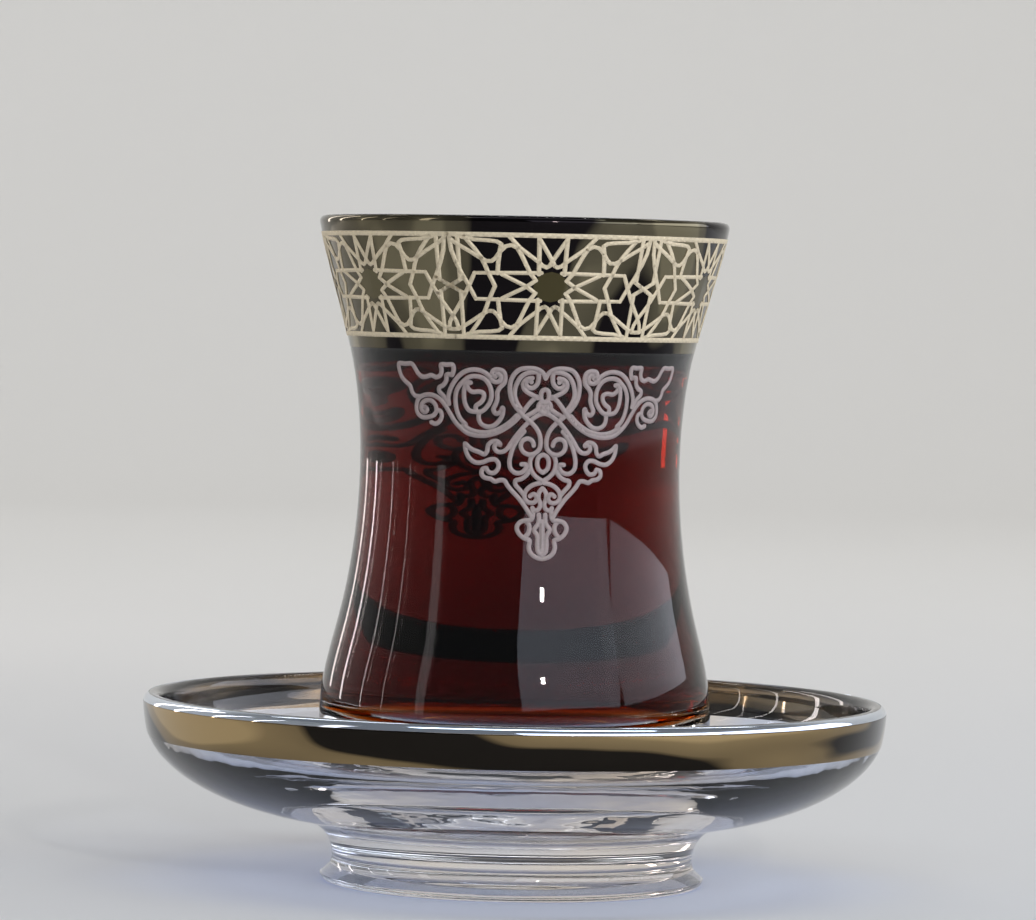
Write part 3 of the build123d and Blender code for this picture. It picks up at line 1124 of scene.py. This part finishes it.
class TEAGLASS_OT_stage(bpy.types.Operator):
    """Pale floor and backdrop, soft lamps and the camera"""

    bl_idname = "teaglass.stage"
    bl_label = "Stage"

    def execute(self, context):
        studio = settings("studio")
        self.floor(studio)
        self.world()
        self.lamps(studio)
        self.camera(studio)
        context.scene.view_settings.view_transform = "Standard"
        return {"FINISHED"}

    def floor(self, studio):
        """Floor and backdrop in one soft sweep."""
        f = Finish("studio_floor")
        mottle = f.noise(f.place(), 3.0, 2.0)
        light = tuple(studio.floor)
        dark = tuple(0.97 * c for c in light)
        cloth = f.add("ShaderNodeBsdfPrincipled", {}, {
            "Base Color": f.mixed(mottle, dark, light),
            "Roughness": 0.9,
        })
        mesh = turned_mesh("studio_floor", cove_outline())
        open_front(mesh, studio.turn)
        mesh.flip_normals()
        floor = placed("studio_floor", mesh, f.finish(cloth))

    def world(self):
        """Even pale light from above."""
        world = bpy.data.worlds.new("studio")
        world.use_nodes = True
        background = world.node_tree.nodes["Background"]
        background.inputs["Color"].default_value = (0.92, 0.95, 1.0, 1)
        background.inputs["Strength"].default_value = WORLD_STRENGTH
        bpy.context.scene.world = world

    def lamps(self, studio):
        """Window on the right, tall strips on the left and a soft panel overhead."""
        turn = studio.turn
        for name, degrees, distance, height, size, radiance, colour, out, aim in LAMPS:
            lamp(name, around(turn, degrees, distance, height), size, radiance, colour,
                 around(turn, degrees, out, aim))

    def camera(self, studio):
        """Camera on the far side of a long lens."""
        data = bpy.data.cameras.new("camera")
        data.lens = studio.lens
        data.sensor_width = 36
        data.clip_start = 0.05
        data.clip_end = 20
        camera = bpy.data.objects.new("camera", data)
        turn = studio.turn
        camera.location = (
            -studio.distance * math.sin(turn) - studio.aside * math.cos(turn),
            -studio.distance * math.cos(turn) + studio.aside * math.sin(turn),
            studio.eye)
        camera.rotation_euler = (math.pi / 2 - studio.pitch, 0.0, -turn)
        camera.rotation_euler.rotate_axis("Z", studio.roll)
        bpy.context.scene.collection.objects.link(camera)
        bpy.context.scene.camera = camera


# ---------------------------------------------------------------- panel and run

MAKERS = (
    TEAGLASS_OT_glass, TEAGLASS_OT_tea, TEAGLASS_OT_saucer, TEAGLASS_OT_mirror_bands,
    TEAGLASS_OT_star_band, TEAGLASS_OT_scrolls, TEAGLASS_OT_stage,
)
GROUPS = (
    ("turned", TurnedSizes), ("bands", BandSizes), ("scrolls", ScrollSizes),
    ("finishes", Finishes), ("studio", Studio),
)


class TEAGLASS_PT_panel(bpy.types.Panel):
    """Sizes, colours and makers of the glass of tea"""

    bl_idname = "TEAGLASS_PT_panel"
    bl_label = "Glass of Tea"
    bl_space_type = "VIEW_3D"
    bl_region_type = "UI"
    bl_category = "Tea Glass"

    def draw(self, context):
        for name, group in GROUPS:
            box = self.layout.box()
            box.label(text=name.capitalize())
            for key in group.__annotations__:
                box.prop(settings(name), key)
        for maker in MAKERS:
            self.layout.operator(maker.bl_idname)


def register():
    for name, group in GROUPS:
        bpy.utils.register_class(group)
        setattr(bpy.types.Scene, "tea_glass_" + name, PointerProperty(type=group))
    for maker in MAKERS:
        bpy.utils.register_class(maker)
    bpy.utils.register_class(TEAGLASS_PT_panel)


def unregister():
    bpy.utils.unregister_class(TEAGLASS_PT_panel)
    for maker in reversed(MAKERS):
        bpy.utils.unregister_class(maker)
    for name, group in reversed(GROUPS):
        delattr(bpy.types.Scene, "tea_glass_" + name)
        bpy.utils.unregister_class(group)


def main():
    register()
    for maker in MAKERS:
        getattr(bpy.ops.teaglass, maker.bl_idname.split(".")[1])()


if __name__ == "__main__":
    main()
